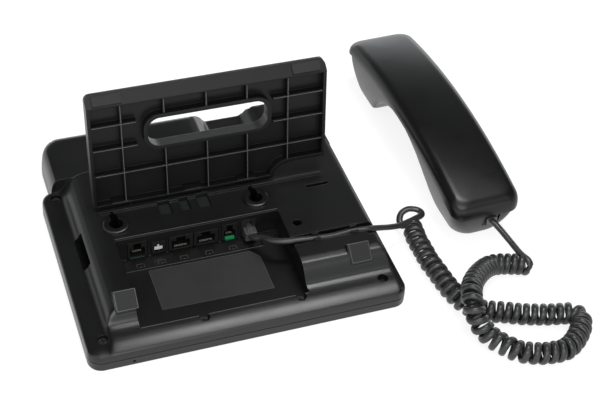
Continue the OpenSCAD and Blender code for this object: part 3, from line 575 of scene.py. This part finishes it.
def make_label_edge_highlight():
    """A painted highlight round the label film: a strip of lighter material along its edge."""
    parts, low, high = [], BAY_FLOOR, BAY_FLOOR + 0.22
    for (ax, ay), (bx, by) in zip(LABEL, LABEL[1:] + LABEL[:1]):
        k = 0.32 / math.hypot(bx - ax, by - ay)
        nx, ny = -(by - ay) * k, (bx - ax) * k
        strip = [(ax, ay), (bx, by), (bx + nx, by + ny), (ax + nx, ay + ny)]
        v = [(*p, z) for z in (low, high) for p in strip]
        parts.append((v, [(3, 2, 1, 0), (4, 5, 6, 7)] + loop_faces(0, 4, 4)))
    trim("label_edge_highlight", parts, "edge")


def make_foot_rim_highlights():
    """A painted highlight at the foot of each rubber pad: a rim of lighter material."""
    runs = ((-6.6, -0.1, 0, -6.15, 11.9, 1.34), (6.15, -0.1, 0, 6.6, 11.9, 1.34),
            (-6.6, 11.65, 0, 6.6, 12.05, 1.34), (-6.6, -0.25, 0, 6.6, 0.16, 1.34))
    trim("foot_rim_highlights", [leaned(bar(*r), x, FOOT_Y, FOOT_Z, FOOT_LEAN) for x in FEET_X for r in runs], "edge")


make_contacts()
make_inserts()
make_bay_edge_highlights()
make_marks()
make_label_edge_highlight()
make_foot_rim_highlights()


# ---------------------------------------------------------------- stand edges, painted highlights
def make_stand_edge_highlights():
    """Painted highlights on the crests of the stand's ribs: light strips, as (x0, up0, x1, up1) on its leaning
    face.
    """
    half = 0.16
    ribs = (49.5, 77, 104.3, 131, 158.4)
    runs = [(x - half, 1.6 if x < 147 else 11.2, x + half, 37.6 if 63 < x < 147 else 74.6) for x in ribs]
    runs += [(x - half, 64.4, x + half, 74.6) for x in ribs[1:4]] + [(30.8, 24.3 - half, 181.8, 24.3 + half)]
    for up in (43.4, 60.6):
        runs += [(x0, up - half, x1, up + half) for x0, x1 in ((30.8, 59), (149, 181.8))]
    crests = [bar(x0, u0, -0.86, x1, u1, -0.62) for x0, u0, x1, u1 in runs]
    trim("rib_edge_highlights", [leaned(c, 0, STAND_Y, DECK, STAND_LEAN) for c in crests], "line", "stand")


make_stand_edge_highlights()


# ---------------------------------------------------------------- handset shells
def arch(y, top, drop, tilt):
    return top - drop * (y / HL) ** 2 + tilt * y / HL


def top_z(y): return arch(y, 46.5, 11.5, 2)
def mid_z(y): return arch(y, 37.3, 12, 3.2)


# height of the lower face along the handset: two flat cups with the grip arched between them
UNDERSIDE = [
    (-HL, 0), (-HL + 34, 0), (-HL + 37, 0.2), (-HL + 41, 1.8), (-HL + 45, 5), (-HL + 49, 9.5), (-HL + 58, 18.5),
    (-HL + 68, 26), (-HL + 80, 31), (-4, 33.8), (HL - 80, 33), (HL - 68, 28.6), (HL - 58, 22), (HL - 50, 13.6),
    (HL - 44, 5), (HL - 41, 1.8), (HL - 38, 0.3), (HL - 35, 0), (HL, 0)]
BACK_INSETS = [0, 0.02, 0.08, 0.2, 0.4, 0.7, 1.1, 1.6, 2.2, 2.9, 3.7, 4.6, 5.6, 6.8, 8.4, 10.5, 13, 16, 19, 21.5,
               23.3]
FRONT_INSETS = [0, 0.06, 0.2, 0.45, 0.8, 1.3, 1.9, 2.6, 3.4, 4.2, 5, 5.8, 6.6, 7.5, 9, 12, 16, 19.5, 21.8]
ARC_POINTS, END_POINTS, SIDE_POINTS = 12, 6, 56   # on a corner, across an end, along a side
BRIDGE = 14, 98                                   # points of the inner loop that are bridged across its middle


def ring_of(w, l, r, grow, d):
    """A rounded rectangle at an inset d, with the same number of points at every inset."""
    a, b = max(w / 2 - d, 0.0), l / 2 - d
    rc = min(max(r + grow * d, 0), a)
    corners = []
    for sx, sy, flip in ((1, 1, 0), (-1, 1, 1), (-1, -1, 0), (1, -1, 1)):
        arc = [(sx * (a - rc + rc * math.cos(t)), sy * (b - rc + rc * math.sin(t)))
               for t in np.linspace(0, math.pi / 2, ARC_POINTS)]
        corners.append(arc[::-1] if flip else arc)
    loop = []
    for i in range(4):
        loop += corners[i]
        p, q = np.array(corners[i][-1]), np.array(corners[(i + 1) % 4][0])
        m = END_POINTS if i % 2 == 0 else SIDE_POINTS
        loop += [tuple(p + (q - p) * k / m) for k in range(1, m)]
    return loop


def shell(name, w, l, r, grow, insets, outside, under):
    """Closed body from nested rings: outside(inset, y) on one side, under(y) as the flat side."""
    rings = [ring_of(w, l, r, grow, d) for d in insets]
    N = len(rings[0])
    V = [(x, y, float(outside(d, y))) for d, loop in zip(insets, rings) for x, y in loop]
    V += [(x, y, float(under(y))) for loop in rings[::-1] for x, y in loop]
    m, last = 2 * len(insets), len(insets) - 1
    F = [q for k in range(m) if k != last for q in loop_faces(k * N, (k + 1) % m * N, N)]
    # both inner loops are bridged across the narrow middle, each point with the one opposite
    for k in (last, last + 1):
        for i in range(*BRIDGE):
            F.append(tuple(dict.fromkeys(k * N + j % N for j in (i, i + 1, 27 - i, 28 - i))))
    return solid(name, [at_handset((V, F))], "hand")


def roll(d):
    """How much of the crown's height is reached at an inset d: a round shoulder, then a slight crown."""
    return 0.93 * (1 - (1 - min(d / 7.5, 1)) ** 2.6) ** (1 / 2.6) + 0.07 * (1 - (1 - d / (HW / 2)) ** 2)


def back_z(d, y):
    return mid_z(y) + roll(d) * (top_z(y) - mid_z(y))


def front_z(d, y):
    top = mid_z(y) - 0.05
    wall = top * (1 - (d / 6.4) ** 0.62) if d < 6.4 else -4 * (d - 6.4)
    face = smax(line_of(UNDERSIDE, y, 2.4), wall, 2.6) - (0.25 if d > 8 else 0)
    return min(max(face, 0), top)


def make_handset():
    back = shell("handset_back_shell", HW, 2 * HL, 9, -0.3, BACK_INSETS, back_z, lambda y: mid_z(y) - 0.02)
    finish_piece(back, "handset", ["handset_back"], 40)
    front = shell("handset_front_shell", HW - 3.2, 2 * HL - 3.2, 8, 0.6, FRONT_INSETS, front_z,
                  lambda y: mid_z(y) - 0.05)
    # sound slots at both ends and the well of the cord socket
    slots = [bar(x - 0.8, HL - 27, -1, x + 0.8, HL - 15, 3) for x in range(-8, 9, 4)]
    slots += [bar(x - 0.8, -HL + 20, -1, x + 0.8, -HL + 26, 3) for x in (-4, 0, 4)]
    well = bar(-1.3, -HL - 2, 11, 10.3, -HL + 14, 23.5)
    cut(front, "DIFFERENCE", [at_handset(p) for p in slots + [well]])
    finish_piece(front, "handset", ["handset_front"], 40)


make_handset()


# ---------------------------------------------------------------- cord
LEAD_BASE = [
    (122.4, 72.4, 13.6), (122.4, 70.5, 15.6), (122.8, 67, 17.6), (126.4, 63.9, 20.5), (129.5, 57.2, 23.4),
    (135, 53.3, 24.6), (141.3, 51.6, 25), (147.9, 50.8, 25), (167.3, 49.5, 24.2), (181.2, 50.4, 24.2),
    (187.9, 50, 24.2), (193.3, 49.6, 24), (201.6, 50.6, 21.6), (210.7, 53.1, 17.6), (219.1, 55.6, 14.6),
    (226, 58.4, 13.2), (232.5, 60.8, 12.6), (237.8, 63.6, 11.6), (239.2, 67.2, 11), (236.8, 70.4, 11.2),
    (231.6, 71.8, 11.4), (226.4, 70.2, 10.4), (223.7, 66.4, 8.4), (223.6, 62.2, 7)]
COIL = [
    (229.6, 60, 7.3), (229.3, 54.1, 7.3), (228.3, 46.5, 7.3), (228.5, 36.8, 7.3), (228.4, 26.4, 7.3),
    (229.6, 17.6, 7.3), (230.5, 8.1, 7.3), (231.9, -1.4, 7.3), (234.3, -10.2, 7.3), (238, -17.5, 7.3),
    (242.6, -22.3, 7.3), (248.2, -25.2, 7.3), (257, -28.6, 7.3), (265.6, -32.4, 7.3), (274.6, -35.4, 7.3),
    (283.7, -38, 7.3), (292.1, -39.6, 7.3), (298.2, -41.3, 7.3), (300.6, -46.4, 7.3), (297.8, -53, 7.3),
    (291.5, -59.8, 7.3), (284.9, -64.6, 7.3), (278.8, -67.1, 7.3), (272.7, -67, 7.3), (265.1, -66, 7.3),
    (257.5, -63.4, 7.3), (251.1, -59.9, 7.3), (246.7, -54.9, 7.3), (242.5, -49.5, 7.3), (239.3, -44.5, 8),
    (236.6, -40.5, 10.5), (234.4, -36.7, 14), (233.3, -33.3, 18), (232.8, -29.5, 21.4), (233.9, -24.2, 22.8),
    (236.6, -17.8, 22.6), (241.3, -10.3, 20), (249.4, -0.9, 15.2), (258.5, 7.4, 10.2), (265.6, 11.2, 7.8),
    (272.1, 11.2, 7.3), (278.4, 9.4, 7.3), (284, 7.6, 7.3), (288.3, 5.9, 7.3)]
LEAD_HANDSET = [
    (286.6, 0.6, 8.6), (288.2, 1.2, 11.2), (288.2, 5, 12.8), (286, 12.3, 12.6), (284.1, 23.7, 13.2),
    (281.7, 34.6, 14.6), (279.4, 41.1, 16), (278.7, 43.7, 16.4)]
# (share of the coil's length, spacing of the turns): open on the straight runs, tight at the handset end
PITCH = [(0, 5.6), (0.05, 6.1), (0.2, 6.3), (0.3, 5.4), (0.5, 5.4), (0.56, 5.0), (0.66, 6.4), (0.75, 6.3),
         (0.85, 5.8), (0.92, 4.7), (1, 4.6)]
WIDE, THICK, COIL_R = 4.5, 3.4, 5.4           # the wire's section, and the coil's radius to its middle
TURN_POINTS, SECTION_POINTS, JOIN_POINTS = 22, 10, 16


def coil_helix():
    """The wire's middle line round the coil, its outward directions and the number of turns."""
    axis = curve_points(COIL, 0.6)
    a, b = side_frames(axis)
    s = lengths_along(axis)
    pitch = np.interp(s / s[-1], *np.array(PITCH).T)
    turn = np.concatenate([[0], np.cumsum(np.diff(s) / (0.5 * (pitch[1:] + pitch[:-1])))])
    turns = float(round(turn[-1]))
    turn *= turns / turn[-1]
    k = np.linspace(0, turns, int(turns * TURN_POINTS) + 1)
    si = np.interp(k, turn, s)
    middle, a, b = (np.stack([np.interp(si, s, arr[:, j]) for j in range(3)], 1) for arr in (axis, a, b))
    angle = -2 * math.pi * k
    out = np.cos(angle)[:, None] * a + np.sin(angle)[:, None] * b
    helix = middle + COIL_R * out
    helix[:, 2] = np.maximum(helix[:, 2], THICK / 2 + 0.1)
    return helix, out, turns


def bridge(pts, p, q):
    """The stretch of a smooth curve through pts that lies between p and q."""
    curve = curve_points(pts, 0.9)
    start, end = (np.linalg.norm(curve - point, axis=1).argmin() for point in (p, q))
    return curve[start + 1:end]


def make_cord():
    helix, out, turns = coil_helix()
    lead1, lead2 = curve_points(LEAD_BASE, 1.2), curve_points(LEAD_HANDSET, 1.2)
    j1 = bridge([lead1[-3], lead1[-1], helix[1], helix[4]], lead1[-1], helix[1])
    j2 = bridge([helix[-5], helix[-2], lead2[0], lead2[2]], helix[-2], lead2[0])
    line = np.vstack([lead1, j1, helix[1:-1], j2, lead2])

    def flat(n): return np.tile([0.05, 0.1, 1.0], (n, 1))
    side = np.vstack([flat(len(lead1) + len(j1)), out[1:-1], flat(len(j2) + len(lead2))])
    keep = np.concatenate([[True], np.linalg.norm(np.diff(line, axis=0), axis=1) > 0.25])
    line, side = line[keep], side[keep]
    # the flat of the wire faces outward on the coil and upward on the leads, turning gently between
    n0, n1 = len(lead1) + len(j1), len(line) - len(lead2) - len(j2)
    for lo, hi in ((n0 - JOIN_POINTS, n0 + 3), (n1 - 3, n1 + JOIN_POINTS)):
        for i in range(lo, hi):
            w = (i - lo) / (hi - lo)
            side[i] = side[lo - 1] * (1 - w) + side[hi] * w
    along = tangents(line)
    side -= along * (side * along).sum(1)[:, None]
    side /= np.linalg.norm(side, axis=1)[:, None]
    wide = np.cross(along, side)
    n = SECTION_POINTS
    angle = 2 * math.pi * (np.arange(n) + 0.5) / n
    r1 = THICK / 2 * np.sign(np.cos(angle)) * np.abs(np.cos(angle)) ** 0.85
    r2 = WIDE / 2 * np.sin(angle)
    pts = line[:, None, :] + r1[None, :, None] * side[:, None, :] + r2[None, :, None] * wide[:, None, :]
    last = (len(line) - 1) * n
    faces = [q for k in range(len(line) - 1) for q in loop_faces(k * n, (k + 1) * n, n)]
    faces += [tuple(range(n))[::-1], tuple(range(last, last + n))]
    ob = mesh("handset_cord", pts.reshape(-1, 3), faces, "cord")
    crisp(ob, 70)
    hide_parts("lead_base", "coil_cord", "lead_handset")
    tuple(P(283.6, 21, 10.6))
    tuple(P(291.1, 27.3, 10.6))
    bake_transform(ob)
    tuple(P(122.4, 72.4, 13.6))
    [tuple(P(*p)) for p in line]


make_cord()


# ---------------------------------------------------------------- stage and light
WHITE, FLOOR_GLOW = 1.15, 0.72                # strength of the white ground, and its share in the floor
CEILING, SOFTBOX = 0.05, 1.0
WALL_TOP, WALL_FADE = 0.40, 0.17              # height at which the walls end, and over how much they fade
WALL_SIDE, WALL_FAR, WALL_NEAR = 0.5, 4, 2.6  # strength all round, and its rise ahead of and behind the camera
VIEW_X, VIEW_Y = 0.372, 0.928                 # level direction in which the camera looks
# name, place, target, size and power
LIGHTS = [("near_soft", (-0.45, -1.5, 1.7), (0.06, 0, 0), (1.6, 1.0), 18),
          ("over_soft", (0.1, -0.2, 2.0), (0.06, 0, 0), (1.6, 1.2), 6),
          ("rim_soft", (0.23, 0.07, 0.8), (0.23, 0.07, 0), (0.36, 0.2), 2.7)]


def make_floor():
    """Pale floor that looks white to the camera and in reflections."""
    bpy.ops.mesh.primitive_plane_add(size=8, location=(0, 0, 0))
    floor = bpy.context.object
    floor.name = "floor"
    m = Mat("floor_white", (0.93, 0.93, 0.93), 0.9)
    m.set("Base Color", m.ramp(m.noise(9, 2, 0.5), (0.3, (0.93, 0.93, 0.93)), (0.7, (0.95, 0.95, 0.95))))
    glow = add_node(m.t, "Emission", {"Strength": WHITE})
    seen = seen_by(m.t, "Camera", "Glossy", "Transmission")
    mix = add_node(m.t, "MixShader", {0: seen * FLOOR_GLOW, 1: S(m.t, m.b.outputs[0]), 2: glow})
    put(m.t, m.t.nodes["Material Output"].inputs[0], mix)
    floor.data.materials.append(m.m)


def make_world():
    """A studio: bright walls near the table, a dark ceiling, a softbox above the near side."""
    w = bpy.data.worlds.new("studio")
    scene.world = w
    w.use_nodes = True
    t = w.node_tree
    way = add_node(t, "SeparateXYZ", {0: add_node(t, "TexCoord", out="Generated")})
    x, y, z = (S(t, o) for o in way.s.node.outputs)
    ahead = x * VIEW_X + y * VIEW_Y
    behind = ahead * -1.0
    wall = ((WALL_TOP - z) / WALL_FADE).held()
    side = (ahead - 0.35).op("MAXIMUM", 0.0) * WALL_FAR + (behind - 0.3).op("MAXIMUM", 0.0) * WALL_NEAR + WALL_SIDE
    box = ((behind - 0.05) / 0.3).held() * ((z - 0.35) / 0.2).held()
    studio = add_node(t, "Background", {"Color": (0.96, 0.98, 1.0, 1),
                                        "Strength": wall * side + box * SOFTBOX + CEILING})
    white = add_node(t, "Background", {"Color": (1, 1, 1, 1), "Strength": WHITE})
    mix = add_node(t, "MixShader", {0: seen_by(t, "Camera", "Transmission"), 1: studio, 2: white})
    put(t, t.nodes["World Output"].inputs[0], mix)


def make_light(name, place, target, size, power):
    data = bpy.data.lights.new(name, "AREA")
    data.shape, data.size, data.size_y, data.energy = "RECTANGLE", size[0], size[1], power
    light = bpy.data.objects.new(name, data)
    scene.collection.objects.link(light)
    light.location = place
    light.rotation_euler = (Vector(target) - Vector(place)).to_track_quat("-Z", "Y").to_euler()


make_floor()
make_world()
for row in LIGHTS:
    make_light(*row)
scene.view_settings.view_transform = "Standard"
